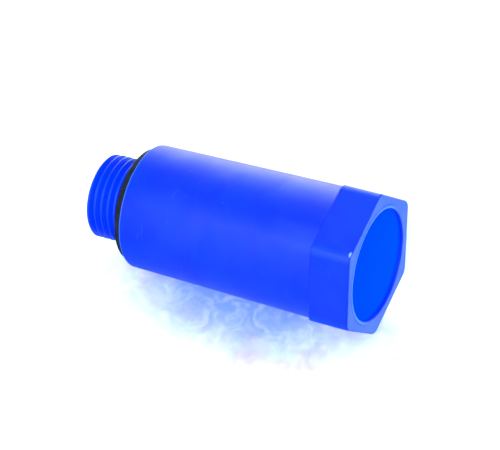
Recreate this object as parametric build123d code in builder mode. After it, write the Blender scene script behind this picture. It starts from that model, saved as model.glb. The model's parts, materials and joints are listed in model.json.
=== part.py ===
from build123d import *
import os
from math import cos, radians, sin, tan

os.makedirs("parts", exist_ok=True)

# Long threaded test plug, lying on one flat of its hexagon. Millimetres, +Z up.
# The axis is X. X = 0 is the sealing plane, the threaded spigot points to -X
# and the open mouth to +X.

# ---- driving dimensions --------------------------------------------------

# spigot with pipe thread G 1/2 (ISO 228): outside diameter, pitch, flank angle
THREAD_OD = 20.955
PITCH = 1.814
FLANK = 27.5
SHARP_DEPTH = 0.960491 * PITCH
THREAD_DEPTH = 0.640327 * PITCH
SPIGOT_LENGTH = 10.1
TIP_CHAMFER = 0.5
RELIEF_WIDTH = 2.0
RELIEF_OD = 18.4
# a crest crosses the -Y side of the spigot here, which sets the thread's start
CREST_X = -5.56

# neck that centres the seal, and the flat ring seal
NECK_OD = 20.6
SEAL_OD = 28.2
SEAL_THICKNESS = 1.95
SEAL_CLEARANCE = 0.05
SEAL_EDGE = 0.3

# barrel, slightly tapered so that it leaves its mould
SHOULDER_OD = 30.9
BARREL_OD = 32.6
BARREL_LENGTH = 51.85
SHOULDER_EDGE = 0.45

# hexagon round the mouth
HEX_FLATS = 33.0
HEX_LENGTH = 10.25
HEX_CORNER = 2.5
HEX_EDGE = 0.3

# blind cavity: straight mouth, drafted barrel bore, narrow core in the spigot
MOUTH_BORE = 27.6
MOUTH_DEPTH = 12.0
MOUTH_ROUND = 0.4
FLOOR_BORE = 26.0
FLOOR_THICKNESS = 3.0
CORE_MOUTH_BORE = 13.6
CORE_END_BORE = 13.0
TIP_WALL = 3.0
CAVITY_FILLET = 1.5

# ---- positions along the axis --------------------------------------------
TIP_X = -SPIGOT_LENGTH
SHOULDER_X = SEAL_THICKNESS
HEX_X = SHOULDER_X + BARREL_LENGTH
MOUTH_X = HEX_X + HEX_LENGTH
BORE_X = MOUTH_X - MOUTH_DEPTH
FLOOR_X = SHOULDER_X + FLOOR_THICKNESS
CORE_X = TIP_X + TIP_WALL

# ---- thread groove, as a section in the axial plane -----------------------
THREAD_R = THREAD_OD / 2
ROOT_R = THREAD_R - THREAD_DEPTH
ROOT_HALF_WIDTH = SHARP_DEPTH / 6 * tan(radians(FLANK))
# the cutter stands this far proud of the thread, so that it cuts cleanly
CUTTER_RISE = 0.2
CUTTER_DEPTH = THREAD_DEPTH + CUTTER_RISE
CUTTER_HALF_WIDTH = ROOT_HALF_WIDTH + CUTTER_DEPTH * tan(radians(FLANK))
# the groove starts bluntly, this far round from +Z by way of -Y and -Z, so that
# a plain land is left at the tip; a groove lies half a pitch past a crest
GROOVE_START_ANGLE = 250.0
TURNS_FROM_CREST = (GROOVE_START_ANGLE - 90.0) / 360.0
GROOVE_TURNS_BACK = 3
GROOVE_START_X = CREST_X + PITCH * (0.5 + TURNS_FROM_CREST - GROOVE_TURNS_BACK)
GROOVE_START_Y = -ROOT_R * sin(radians(GROOVE_START_ANGLE))
GROOVE_START_Z = ROOT_R * cos(radians(GROOVE_START_ANGLE))
GROOVE_OUTWARD = (0, GROOVE_START_Y / ROOT_R, GROOVE_START_Z / ROOT_R)
GROOVE_END_X = -RELIEF_WIDTH / 2


# ---- plug body: one moulding ----------------------------------------------
with BuildPart() as plug_body:
    # hexagon with rounded corners, two flats facing up and down
    with BuildSketch(Plane.YZ.offset(HEX_X)) as hexagon:
        RegularPolygon(HEX_FLATS / 2, 6, major_radius=False)
        fillet(hexagon.vertices(), HEX_CORNER)
    extrude(amount=HEX_LENGTH)
    chamfer(plug_body.edges().filter_by(Axis.X, reverse=True), HEX_EDGE)

    # spigot, relief, neck and barrel: half an outline turned round the axis
    with BuildSketch() as outline:
        with BuildLine():
            Polyline(
                (TIP_X, 0),
                (TIP_X, THREAD_R - TIP_CHAMFER),
                (TIP_X + TIP_CHAMFER, THREAD_R),
                (-RELIEF_WIDTH, THREAD_R),
                (-RELIEF_WIDTH, RELIEF_OD / 2),
                (0, RELIEF_OD / 2),
                (0, NECK_OD / 2),
                (SHOULDER_X, NECK_OD / 2),
                (SHOULDER_X, SHOULDER_OD / 2),
                (HEX_X, BARREL_OD / 2),
                (MOUTH_X, BARREL_OD / 2),
                (MOUTH_X, 0),
                close=True,
            )
        make_face()
        shoulder_corner = outline.vertices().sort_by_distance((SHOULDER_X, SHOULDER_OD / 2))[0]
        fillet(shoulder_corner, SHOULDER_EDGE)
    revolve(axis=Axis.X)

    # cavity, open at the mouth and closed at the spigot's tip
    with BuildSketch() as cavity:
        with BuildLine():
            Polyline(
                (MOUTH_X, 0),
                (MOUTH_X, MOUTH_BORE / 2),
                (BORE_X, MOUTH_BORE / 2),
                (FLOOR_X, FLOOR_BORE / 2),
                (FLOOR_X, CORE_MOUTH_BORE / 2),
                (CORE_X, CORE_END_BORE / 2),
                (CORE_X, 0),
                close=True,
            )
        make_face()
        floor_corner = cavity.vertices().sort_by_distance((FLOOR_X, FLOOR_BORE / 2))[0]
        fillet(floor_corner, CAVITY_FILLET)
        core_corner = cavity.vertices().sort_by_distance((CORE_X, CORE_END_BORE / 2))[0]
        fillet(core_corner, CAVITY_FILLET)
    revolve(axis=Axis.X, mode=Mode.SUBTRACT)
    mouth_face = plug_body.faces().sort_by(Axis.X)[-1]
    mouth_edge = mouth_face.edges().filter_by(GeomType.CIRCLE).sort_by(SortBy.LENGTH)[-1]
    fillet(mouth_edge, MOUTH_ROUND)

    # thread: one helical groove, cut from a blunt start near the tip into the relief
    with BuildLine() as groove_path:
        Helix(
            PITCH,
            GROOVE_END_X - GROOVE_START_X,
            ROOT_R,
            center=(GROOVE_START_X, 0, 0),
            direction=(1, 0, 0),
        )
    groove_start = Plane(
        (GROOVE_START_X, GROOVE_START_Y, GROOVE_START_Z),
        x_dir=(1, 0, 0),
        z_dir=Vector(1, 0, 0).cross(Vector(GROOVE_OUTWARD)),
    )
    with BuildSketch(groove_start):
        with BuildLine():
            Polyline(
                (-ROOT_HALF_WIDTH, 0),
                (ROOT_HALF_WIDTH, 0),
                (CUTTER_HALF_WIDTH, CUTTER_DEPTH),
                (-CUTTER_HALF_WIDTH, CUTTER_DEPTH),
                close=True,
            )
        make_face()
    sweep(path=groove_path.line.rotate(Axis.X, GROOVE_START_ANGLE), is_frenet=True, mode=Mode.SUBTRACT)

plug_body.part.label = "plug_body"
export_step(plug_body.part, "parts/plug_body.step")


# ---- seal: flat rubber ring on the neck, against the shoulder --------------
with BuildPart() as seal_ring:
    with BuildSketch(Plane.YZ):
        Circle(SEAL_OD / 2)
        Circle(NECK_OD / 2 + SEAL_CLEARANCE, mode=Mode.SUBTRACT)
    extrude(amount=SEAL_THICKNESS)
    outer_wall = seal_ring.faces().filter_by(GeomType.CYLINDER).sort_by(SortBy.AREA)[-1]
    fillet(outer_wall.edges().filter_by(GeomType.CIRCLE), SEAL_EDGE)

seal_ring.part.label = "seal_ring"
export_step(seal_ring.part, "parts/seal_ring.step")
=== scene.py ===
import json
import math

import bpy
from mathutils import Matrix, Vector


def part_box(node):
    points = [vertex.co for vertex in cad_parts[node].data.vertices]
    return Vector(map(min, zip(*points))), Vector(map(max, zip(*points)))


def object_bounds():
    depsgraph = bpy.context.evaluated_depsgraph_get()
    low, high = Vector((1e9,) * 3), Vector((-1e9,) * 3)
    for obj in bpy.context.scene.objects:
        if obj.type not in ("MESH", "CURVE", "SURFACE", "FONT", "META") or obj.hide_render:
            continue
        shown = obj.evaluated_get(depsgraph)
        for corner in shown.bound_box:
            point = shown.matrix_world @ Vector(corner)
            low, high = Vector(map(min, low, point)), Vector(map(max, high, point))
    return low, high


# Looks for the threaded test plug: materials on the two CAD nodes, a floor, lights and a camera.
# Metres, in the CAD frame: X is the plug's axis with the mouth at +X, and +Z is up.

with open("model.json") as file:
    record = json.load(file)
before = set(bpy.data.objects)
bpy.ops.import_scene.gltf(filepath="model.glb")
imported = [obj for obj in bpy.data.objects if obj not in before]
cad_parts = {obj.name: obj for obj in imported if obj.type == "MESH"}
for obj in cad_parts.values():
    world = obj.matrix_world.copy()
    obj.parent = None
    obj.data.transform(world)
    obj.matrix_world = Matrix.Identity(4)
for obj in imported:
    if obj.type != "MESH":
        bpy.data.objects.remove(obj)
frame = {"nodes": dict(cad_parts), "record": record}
cad_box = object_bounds()

MM = 0.001

# ---- where things are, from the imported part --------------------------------
BODY_LOW, BODY_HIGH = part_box("plug_body")
MOUNTS = {mount["name"]: mount for mount in frame["record"]["mounts"]}
PLUG_CENTRE = 0.5 * (Vector(cad_box[0]) + Vector(cad_box[1]))
FLOOR_Z = BODY_LOW[2]
MOUTH_X = BODY_HIGH[0]
SHOULDER_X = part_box("seal_ring")[1][0]
BORE_RADIUS = MOUNTS["mouth"]["dims"]["r_mm"] * MM
HEX_CORNER_RADIUS = 0.5 * (BODY_HIGH[1] - BODY_LOW[1])
HEXAGON_LENGTH = 10.25 * MM
HEXAGON_X = MOUTH_X - HEXAGON_LENGTH
SHOULDER_RADIUS = 15.45 * MM
BARREL_SKIN_RADIUS = 15.5 * MM

# ---- wear, and painted light and shade on the plug ---------------------------
# directions square to the axis, as (Y, Z)
HIGHLIGHT_PATCH_SIDE = (-0.39, 0.92)
UPPER_FRONT_SIDE = (-0.488, 0.873)
# the nick sits in the corner between the top flat and the flat that faces -Y and +Z
NICK_PLACE = (MOUTH_X - 0.3 * MM, -0.446 * HEX_CORNER_RADIUS, 0.888 * HEX_CORNER_RADIUS)
NICK_RADIUS = 0.5 * MM
# the painted glow in the cavity runs from here to the mouth
PAINTED_GLOW_START_X = 4.0 * MM
# widths of the painted highlight on the mouth's rim and of the painted shadow line outside it
RIM_HIGHLIGHT_WIDTH = 0.55 * MM
RIM_DARK_LINE_START = 0.75 * MM
RIM_DARK_LINE_END = 1.25 * MM

# ---- camera: aimed almost at the plug's centre ------------------------------------
CAMERA_AZIMUTH = 42.0
CAMERA_ELEVATION = 53.2
CAMERA_ROLL = -21.3
CAMERA_DISTANCE = 630.5 * MM
CAMERA_RIGHT = 2.55 * MM
CAMERA_UP = 1.05 * MM
CAMERA_SENSOR = 36.0
CAMERA_LENS = 187.2

# ---- colours, linear ----------------------------------------------------------
BODY_BLUE = (0.0006, 0.051, 0.96)
BODY_BLUE_DEEP = (0.0003, 0.036, 0.90)
# painted light: a lighter blue for the spigot, lifting the shade in its thread
SPIGOT_PAINTED_LIGHT_BLUE = (0.0008, 0.075, 0.97)
# painted highlight: the lighter blue on the shoulder's rim, the hexagon's corners and the mouth's rim
EDGE_HIGHLIGHT_BLUE = (0.06, 0.26, 1.0)
# painted glow: the emission colour inside the cavity
CAVITY_PAINTED_GLOW = (0.0, 0.23, 1.0)
# the blue of the scuffs and specks, and of the painted reflection beside the hexagon
SCUFF_AND_HIGHLIGHT_BLUE = (0.05, 0.16, 0.95)
NICK_PALE = (0.42, 0.75, 0.95)
RING_BLACK = (0.012, 0.012, 0.014)
RING_GREY = (0.028, 0.029, 0.032)
FLOOR_WHITE = (0.92, 0.93, 0.95)
# painted light and shade: the colours of the glow painted on the floor
PAINTED_GLOW_BLUE = (0.155, 0.255, 0.56)
PAINTED_GLOW_PINK = (0.80, 0.62, 0.67)

# ---- the dome's light, where 1 is a white surface's full white ---------------------
SKY_DIM = (0.20, 0.235, 0.26)
BACK_WINDOW = (1.5, 2.1, 2.3)
BACK_WINDOW_FOOT = (1.08, 0.84, 1.05)
MOUTH_END_LIGHT = (0.72, 1.65, 1.9)
OVERHEAD = (0.22, 0.22, 0.26)
FRONT_WALL = (0.25, 0.27, 0.29)
BACK_WALL = (0.11, 0.15, 0.16)
SMALL_LAMP = (1.5, 1.2, 1.5)
BLUE_FROM_BELOW = (0.03, 0.24, 1.1)
# how far a direction leans along the plug, as its X part: to the spigot, to the mouth
TO_SPIGOT = -0.395
TO_MOUTH = 0.395
OVER_SPIGOT = -0.302
# a patch's half width in degrees
WINDOW_WIDTH = 40.0
LAMP_WIDTH = 9.94
LAMP_CORE = 3.62
BELOW_WIDTH = 66.4

# ---- softboxes: aimed at the barrel's middle, power in watts -------------------------
SOFTBOX_AIM = (0.03, 0.0, 0.0)
WHITE_LIGHT = (1.0, 1.0, 1.0)
FILL_BLUE = (0.08, 0.35, 1.0)
SIDE_BLUE = (0.15, 0.35, 1.0)
FLOOR_LIGHT = 2.2

# ---- floor, and the painted glow and shade on it: an ellipse under the plug and in front of it ---
FLOOR_SIZE = 6.0
FLOOR_GAP = 0.02 * MM
GLOW_X = 29.0 * MM
GLOW_Y = -6.0 * MM
GLOW_HALF_LENGTH = 50.0 * MM
GLOW_HALF_WIDTH = 25.0 * MM
GLOW_FRONT_Y = -8.5 * MM


# ---- small helpers for node materials -------------------------------------------
class Nodes:
    """A short way to write a node tree: add a node, set its values and link its inputs."""

    def __init__(self, name):
        self.material = bpy.data.materials.new(name)
        self.material.use_nodes = True
        self.tree = self.material.node_tree
        self.shader = self.tree.nodes["Principled BSDF"]

    def add(self, kind, inputs=None, **settings):
        node = self.tree.nodes.new(kind)
        for name, value in settings.items():
            setattr(node, name, value)
        for name, value in (inputs or {}).items():
            self.put(node, name, value)
        return node

    def put(self, node, name, value):
        if isinstance(value, bpy.types.NodeSocket):
            self.tree.links.new(value, node.inputs[name])
        else:
            node.inputs[name].default_value = value

    def math(self, operation, a, b=0.0):
        node = self.add("ShaderNodeMath", operation=operation)
        self.put(node, 0, a)
        self.put(node, 1, b)
        return node.outputs[0]

    def times(self, *values):
        """The product of two or more values."""
        product = values[0]
        for value in values[1:]:
            product = self.math("MULTIPLY", product, value)
        return product

    def hypot(self, a, b):
        return self.math("SQRT", self.math("ADD", self.times(a, a), self.times(b, b)))

    def band(self, value, low, high):
        """0 at low, 1 at high and past it, smooth between them; low may be above high."""
        node = self.add("ShaderNodeMapRange", interpolation_type="SMOOTHSTEP")
        self.put(node, "Value", value)
        self.put(node, "From Min", low)
        self.put(node, "From Max", high)
        return node.outputs["Result"]

    def scaled(self, value, low, high):
        """A value from 0 to 1, spread from low to high."""
        node = self.add("ShaderNodeMapRange")
        self.put(node, "Value", value)
        self.put(node, "To Min", low)
        self.put(node, "To Max", high)
        return node.outputs["Result"]

    def noise(self, vector, scale, detail=3.0, distortion=0.0):
        inputs = {"Vector": vector, "Scale": scale, "Detail": detail, "Distortion": distortion}
        return self.add("ShaderNodeTexNoise", inputs).outputs["Fac"]

    def vector(self, operation, a, b=(0.0, 0.0, 0.0)):
        return self.add("ShaderNodeVectorMath", {0: a, 1: b}, operation=operation)

    def mix(self, factor, a, b):
        """Colour a where factor is 0, b where it is 1. Sockets 6, 7 and output 2 are the node's colours."""
        node = self.add("ShaderNodeMix", data_type="RGBA")
        self.put(node, 0, factor)
        for socket, value in ((6, a), (7, b)):
            if not isinstance(value, bpy.types.NodeSocket):
                value = (*value, 1.0)
            self.put(node, socket, value)
        return node.outputs[2]

    def bump(self, height, strength, distance, after=None):
        node = self.add("ShaderNodeBump", {"Strength": strength, "Distance": distance})
        self.put(node, "Height", height)
        if after is not None:
            self.put(node, "Normal", after)
        return node.outputs["Normal"]

    def object_coordinates(self):
        return self.add("ShaderNodeTexCoord").outputs["Object"]

    def split(self, vector):
        return self.add("ShaderNodeSeparateXYZ", {"Vector": vector}).outputs


# ---- the blue plastic ----------------------------------------------------------------
def blue_plastic():
    """Saturated blue moulding: cloudy colour, satin mould finish, rubbed edges, scuffs and specks."""
    n = Nodes("blue moulded plastic")
    place = n.object_coordinates()
    x, y, z = n.split(place)
    radius = n.hypot(y, z)

    # colour: soft clouds, painted light on the spigot, painted highlights along the edges
    cloud = n.noise(place, 55.0, 2.0, 0.6)
    colour = n.mix(n.band(cloud, 0.35, 0.65), BODY_BLUE_DEEP, BODY_BLUE)
    on_spigot = n.band(x, -1.0 * MM, -2.0 * MM)
    # painted light: the spigot is made lighter to lift the shade in its thread's grooves and beside the
    # ring
    colour = n.mix(n.times(on_spigot, 0.8), colour, SPIGOT_PAINTED_LIGHT_BLUE)
    edge_highlights = n.math("MAXIMUM", shoulder_edge_highlight(n, x, radius), hexagon_corner_highlights(n, radius))
    # a painted highlight on the mouth's rim, and a painted shadow line outside it
    rim_highlight, rim_dark_line = mouth_rim(n, x, y, z, radius)
    edge_highlights = n.math("MAXIMUM", edge_highlights, rim_highlight)
    # painted highlights along the shoulder's rim, the hexagon's corners and the mouth's rim
    colour = n.mix(edge_highlights, colour, EDGE_HIGHLIGHT_BLUE)
    marks = n.math("MAXIMUM", scuffs(n, x, radius, place), specks(n, place))
    colour = n.mix(marks, colour, SCUFF_AND_HIGHLIGHT_BLUE)
    colour = n.mix(corner_nick(n, place), colour, NICK_PALE)
    # painted reflection: a soft pale patch on the barrel beside the hexagon
    colour = n.mix(painted_highlight_patch(n, x, y, z, radius, cloud), colour, SCUFF_AND_HIGHLIGHT_BLUE)
    n.put(n.shader, "Base Color", colour)

    # painted glow: a blue emission in the cavity stands in for its lit inside, stronger near the mouth
    in_cavity = painted_glow_cavity(n, x, radius)
    near_mouth = n.band(x, MOUTH_X - 40.0 * MM, MOUTH_X - 12.0 * MM)
    n.put(n.shader, "Emission Color", (*CAVITY_PAINTED_GLOW, 1.0))
    n.put(n.shader, "Emission Strength", n.times(in_cavity, n.scaled(near_mouth, 0.04, 0.3)))

    # sheen: uneven, cut in a thin ring outside the mouth's rim for a painted shadow line, dull near the
    # shoulder, none in the cavity
    sheen = n.scaled(n.band(n.noise(place, 80.0, 2.0, 0.8), 0.35, 0.65), 0.4, 0.54)
    # painted shade: a thin dark line outside the mouth's rim, by cutting the sheen
    sheen = n.times(sheen, n.scaled(rim_dark_line, 1.0, 0.35))
    past_shoulder = n.band(x, SHOULDER_X + 0.5 * MM, SHOULDER_X + 14.0 * MM)
    sheen = n.times(sheen, n.math("MAXIMUM", n.scaled(past_shoulder, 0.62, 1.0), on_spigot))
    n.put(n.shader, "Specular IOR Level", n.times(sheen, n.scaled(in_cavity, 1.0, 0.0)))

    # surface: uneven satin, fine mould grain and faint waviness
    rough = n.scaled(n.noise(place, 240.0), 0.31, 0.41)
    n.put(n.shader, "Roughness", n.math("ADD", rough, n.times(marks, 0.15)))
    waves = n.bump(n.noise(place, 160.0, 2.0), 0.12, 0.2 * MM)
    n.put(n.shader, "Normal", n.bump(n.noise(place, 2600.0, 2.0), 0.25, 0.04 * MM, waves))
    n.shader.inputs["IOR"].default_value = 1.5
    return n.material


def painted_glow_cavity(n, x, radius):
    """1 inside the cavity, from its floor to just short of the mouth's rim, where the glow is painted."""
    inside_wall = n.band(radius, BORE_RADIUS + 0.15 * MM, BORE_RADIUS + 0.05 * MM)
    past_floor = n.band(x, PAINTED_GLOW_START_X - 1.0 * MM, PAINTED_GLOW_START_X)
    short_of_rim = n.band(x, MOUTH_X - 0.3 * MM, MOUTH_X - 1.5 * MM)
    return n.times(inside_wall, n.times(past_floor, short_of_rim))


def shoulder_edge_highlight(n, x, radius):
    """1 on the rounded rim of the shoulder, beside the rubber ring, where a highlight is painted."""
    outer = n.band(radius, SHOULDER_RADIUS - 0.5 * MM, SHOULDER_RADIUS - 0.35 * MM)
    return n.times(outer, n.band(x, SHOULDER_X + 0.6 * MM, SHOULDER_X + 0.2 * MM))


def hexagon_corner_highlights(n, radius):
    """A faint painted highlight, with slight wear, along the six rounded corners of the hexagon."""
    corner = n.band(radius, HEX_CORNER_RADIUS - 0.5 * MM, HEX_CORNER_RADIUS - 0.1 * MM)
    return n.times(corner, 0.08)


def facing(n, y, z, radius, side):
    """How squarely a place faces a side of the plug: 1 straight at it, 0 a quarter turn away."""
    towards = n.math("ADD", n.times(y, side[0]), n.times(z, side[1]))
    return n.math("DIVIDE", towards, radius)


def mouth_rim(n, x, y, z, radius):
    """The mouth's rim: a painted highlight on its upper front half, and a painted shadow line just outside
    it there, made by cutting the sheen.
    """
    side = n.band(facing(n, y, z, radius, UPPER_FRONT_SIDE), -0.35, 0.15)
    on_face = n.times(side, n.band(x, MOUTH_X - 0.3 * MM, MOUTH_X - 0.1 * MM))
    rim = n.band(radius, BORE_RADIUS + RIM_HIGHLIGHT_WIDTH + 0.2 * MM, BORE_RADIUS + RIM_HIGHLIGHT_WIDTH)
    dark_line = n.times(
        n.band(radius, BORE_RADIUS + RIM_DARK_LINE_START, BORE_RADIUS + RIM_DARK_LINE_START + 0.15 * MM),
        n.band(radius, BORE_RADIUS + RIM_DARK_LINE_END, BORE_RADIUS + RIM_DARK_LINE_END - 0.15 * MM),
    )
    return n.times(on_face, rim), n.times(on_face, dark_line)


def painted_highlight_patch(n, x, y, z, radius, cloud):
    """A soft pale patch on the barrel beside the hexagon: a painted reflection of a lamp."""
    side = n.band(facing(n, y, z, radius, HIGHLIGHT_PATCH_SIDE), 0.965, 1.0)
    beside_hexagon = n.times(
        n.band(x, HEXAGON_X - 16.0 * MM, HEXAGON_X - 5.0 * MM),
        n.band(x, HEXAGON_X + 0.2 * MM, HEXAGON_X - 0.2 * MM),
    )
    outside = n.band(radius, BARREL_SKIN_RADIUS, BARREL_SKIN_RADIUS + 0.5 * MM)
    return n.times(side, beside_hexagon, outside, n.scaled(cloud, 0.05, 0.35))


def scuffs(n, x, radius, place):
    """Short faint rubs running round the barrel, thickest behind the shoulder."""
    stretch = {"Vector": place, "Scale": (1.0, 0.22, 0.22)}
    stretched = n.add("ShaderNodeMapping", stretch).outputs["Vector"]
    lines = n.band(n.noise(stretched, 900.0, 3.0, 0.5), 0.6, 0.7)
    patches = n.band(n.noise(place, 120.0, 2.0), 0.5, 0.66)
    near_shoulder = n.band(x, SHOULDER_X + 16.0 * MM, SHOULDER_X + 3.0 * MM)
    outside = n.band(radius, BORE_RADIUS + 0.6 * MM, BORE_RADIUS + 0.9 * MM)
    return n.times(n.times(lines, patches), n.times(n.scaled(near_shoulder, 0.35, 1.0), outside), 0.5)


def specks(n, place):
    """Sparse pinpoint specks in the moulding."""
    cells = n.add("ShaderNodeTexVoronoi", {"Vector": place, "Scale": 420.0})
    dot = n.band(cells.outputs["Distance"], 0.11, 0.06)
    few = n.band(n.noise(place, 210.0, 2.0), 0.62, 0.68)
    return n.times(dot, few, 0.8)


def corner_nick(n, place):
    """A small pale nick in the hexagon's corner at the mouth, longer than it is wide."""
    away = n.vector("SUBTRACT", place, NICK_PLACE).outputs["Vector"]
    squeezed = n.vector("MULTIPLY", away, (1.0, 0.55, 1.0)).outputs["Vector"]
    length = n.vector("LENGTH", squeezed).outputs["Value"]
    ragged = n.math("ADD", length, n.scaled(n.noise(place, 1500.0), -0.25 * MM, 0.25 * MM))
    return n.times(n.band(ragged, NICK_RADIUS, NICK_RADIUS - 0.3 * MM), 0.8)


# ---- the other materials ----------------------------------------------------------
def black_rubber():
    """Matt rubber, grained and unevenly grey."""
    n = Nodes("black rubber")
    place = n.object_coordinates()
    colour = n.mix(n.band(n.noise(place, 420.0), 0.4, 0.7), RING_BLACK, RING_GREY)
    n.put(n.shader, "Base Color", colour)
    n.put(n.shader, "Roughness", n.scaled(n.noise(place, 900.0), 0.55, 0.75))
    n.put(n.shader, "Normal", n.bump(n.noise(place, 3200.0), 0.3, 0.03 * MM))
    return n.material


def pale_floor():
    """White, with a painted pool of pale blue light and shade in front of the plug."""
    n = Nodes("pale floor")
    place = n.object_coordinates()
    x, y, _ = n.split(place)

    # how far out in the ellipse a place is, 1 at its edge, made ragged by ripples
    along = n.math("DIVIDE", n.math("SUBTRACT", x, GLOW_X), GLOW_HALF_LENGTH)
    across = n.math("DIVIDE", n.math("SUBTRACT", y, GLOW_Y), GLOW_HALF_WIDTH)
    ripple = n.noise(place, 130.0, 4.0, 1.4)
    reach = n.math("ADD", n.hypot(along, across), n.scaled(ripple, 0.14, -0.14))
    in_front = n.band(y, 0.0, GLOW_FRONT_Y)

    # the painted glow and shade: a broken pink fringe, the blue inside it, and white streaks over both
    broken = n.band(n.noise(place, 75.0, 2.0), 0.46, 0.66)
    fringe = n.times(n.band(reach, 1.25, 1.1), broken, in_front)
    colour = n.mix(fringe, FLOOR_WHITE, PAINTED_GLOW_PINK)
    colour = n.mix(n.times(n.band(reach, 1.12, 0.25), in_front), colour, PAINTED_GLOW_BLUE)
    streaks = n.band(n.noise(place, 200.0, 5.0, 1.5), 0.4, 0.8)
    colour = n.mix(n.times(streaks, 0.22), colour, FLOOR_WHITE)
    n.put(n.shader, "Base Color", colour)
    n.shader.inputs["Specular IOR Level"].default_value = 0.0
    n.shader.inputs["Roughness"].default_value = 0.9
    return n.material


def dress(node, material):
    obj = frame["nodes"][node]
    obj.data.materials.clear()
    obj.data.materials.append(material)


# ---- stage, lights, camera ------------------------------------------------------------
def add_floor():
    """A wide floor, unseen in the plug's gloss and throwing no light onto the plug."""
    bpy.ops.mesh.primitive_plane_add(size=FLOOR_SIZE, location=(0.0, 0.0, FLOOR_Z - FLOOR_GAP))
    floor = bpy.context.object
    floor.name = "floor"
    floor.data.materials.append(pale_floor())
    floor.visible_glossy = False
    floor.visible_diffuse = False
    return floor


class Sky:
    """A soft studio dome: dim all round, with patches of light that the glossy plastic mirrors."""

    def __init__(self):
        world = bpy.data.worlds.new("sky")
        world.use_nodes = True
        self.nodes = world.node_tree.nodes
        self.links = world.node_tree.links
        self.direction = self.nodes.new("ShaderNodeTexCoord").outputs["Generated"]
        self.total = None
        bpy.context.scene.world = world

    def patch(self, colour, turn, along=TO_SPIGOT, width=WINDOW_WIDTH, core=0.0):
        """Light from one direction: turn is in degrees round the plug, from +Y by way of +Z.

        It fades in at width degrees from there and is full at core degrees.
        """
        aside = math.sqrt(1.0 - along**2)
        angle = math.radians(turn)
        closeness = self.nodes.new("ShaderNodeVectorMath")
        closeness.operation = "DOT_PRODUCT"
        closeness.inputs[1].default_value = (along, aside * math.cos(angle), aside * math.sin(angle))
        self.links.new(self.direction, closeness.inputs[0])
        level = self.nodes.new("ShaderNodeMapRange")
        level.interpolation_type = "SMOOTHSTEP"
        level.inputs["From Min"].default_value = math.cos(math.radians(width))
        level.inputs["From Max"].default_value = math.cos(math.radians(core))
        self.links.new(closeness.outputs["Value"], level.inputs["Value"])
        light = self.nodes.new("ShaderNodeVectorMath")
        light.operation = "SCALE"
        light.inputs[0].default_value = colour
        self.links.new(level.outputs["Result"], light.inputs["Scale"])
        self.add(light.outputs["Vector"])

    def add(self, light):
        """Adds light to what is there so far, which at first is the dim dome."""
        node = self.nodes.new("ShaderNodeVectorMath")
        node.inputs[0].default_value = SKY_DIM
        if self.total is not None:
            self.links.new(self.total, node.inputs[0])
        self.links.new(light, node.inputs[1])
        self.total = node.outputs["Vector"]

    def finish(self):
        self.links.new(self.total, self.nodes["Background"].inputs["Color"])


def add_sky():
    sky = Sky()
    # a window behind the plug, which makes the bright line along the barrel's top edge
    sky.patch(BACK_WINDOW, turn=0.0)
    sky.patch(BACK_WINDOW_FOOT, turn=-30.0)
    # what the end face round the mouth mirrors
    sky.patch(MOUTH_END_LIGHT, turn=-60.8, along=TO_MOUTH)
    # what the barrel mirrors: along its middle, then below the middle and above it
    sky.patch(OVERHEAD, turn=120.0)
    sky.patch(FRONT_WALL, turn=150.0)
    sky.patch(BACK_WALL, turn=30.0)
    # a lamp that leaves a soft spot, and blue light from under the plug
    sky.patch(SMALL_LAMP, turn=119.0, along=OVER_SPIGOT, width=LAMP_WIDTH, core=LAMP_CORE)
    sky.patch(BLUE_FROM_BELOW, turn=-99.4, width=BELOW_WIDTH)
    sky.finish()


def add_light(name, kind, energy):
    data = bpy.data.lights.new(name, kind)
    data.energy = energy
    light = bpy.data.objects.new(name, data)
    bpy.context.collection.objects.link(light)
    return light


def add_softbox(name, place, side, watts, colour=WHITE_LIGHT):
    """A square soft light that the gloss doesn't mirror."""
    light = add_light(name, "AREA", watts)
    light.data.shape = "RECTANGLE"
    light.data.size = side
    light.data.size_y = side
    light.data.color = colour
    light.location = place
    light.visible_glossy = False
    light.rotation_euler = (Vector(SOFTBOX_AIM) - Vector(place)).to_track_quat("-Z", "Y").to_euler()


def add_floor_light(floor):
    """Even light from straight above, on the floor only, which keeps it white up to the plug."""
    light = add_light("floor light", "SUN", FLOOR_LIGHT)
    light.data.use_shadow = False
    lit = bpy.data.collections.new("lit by the floor light")
    lit.objects.link(floor)
    light.light_linking.receiver_collection = lit


def add_camera():
    data = bpy.data.cameras.new("camera")
    data.sensor_width = CAMERA_SENSOR
    data.lens = CAMERA_LENS
    camera = bpy.data.objects.new("camera", data)
    bpy.context.collection.objects.link(camera)
    turn = (
        Matrix.Rotation(math.radians(CAMERA_AZIMUTH), 4, "Z")
        @ Matrix.Rotation(math.radians(90.0 - CAMERA_ELEVATION), 4, "X")
        @ Matrix.Rotation(math.radians(CAMERA_ROLL), 4, "Z")
    )
    back_off = Matrix.Translation((CAMERA_RIGHT, CAMERA_UP, CAMERA_DISTANCE))
    camera.matrix_world = Matrix.Translation(PLUG_CENTRE) @ turn @ back_off
    bpy.context.scene.camera = camera


dress("plug_body", blue_plastic())
dress("seal_ring", black_rubber())
floor = add_floor()
add_sky()
add_softbox("key", (0.1, -0.7, 1.1), 0.9, 11.3)
add_softbox("fill", (0.3, -0.7, 0.9), 1.2, 11.0, FILL_BLUE)
add_softbox("side", (1.0, 0.1, 0.4), 0.8, 9.0, SIDE_BLUE)
add_floor_light(floor)
add_camera()
bpy.context.scene.view_settings.view_transform = "Standard"
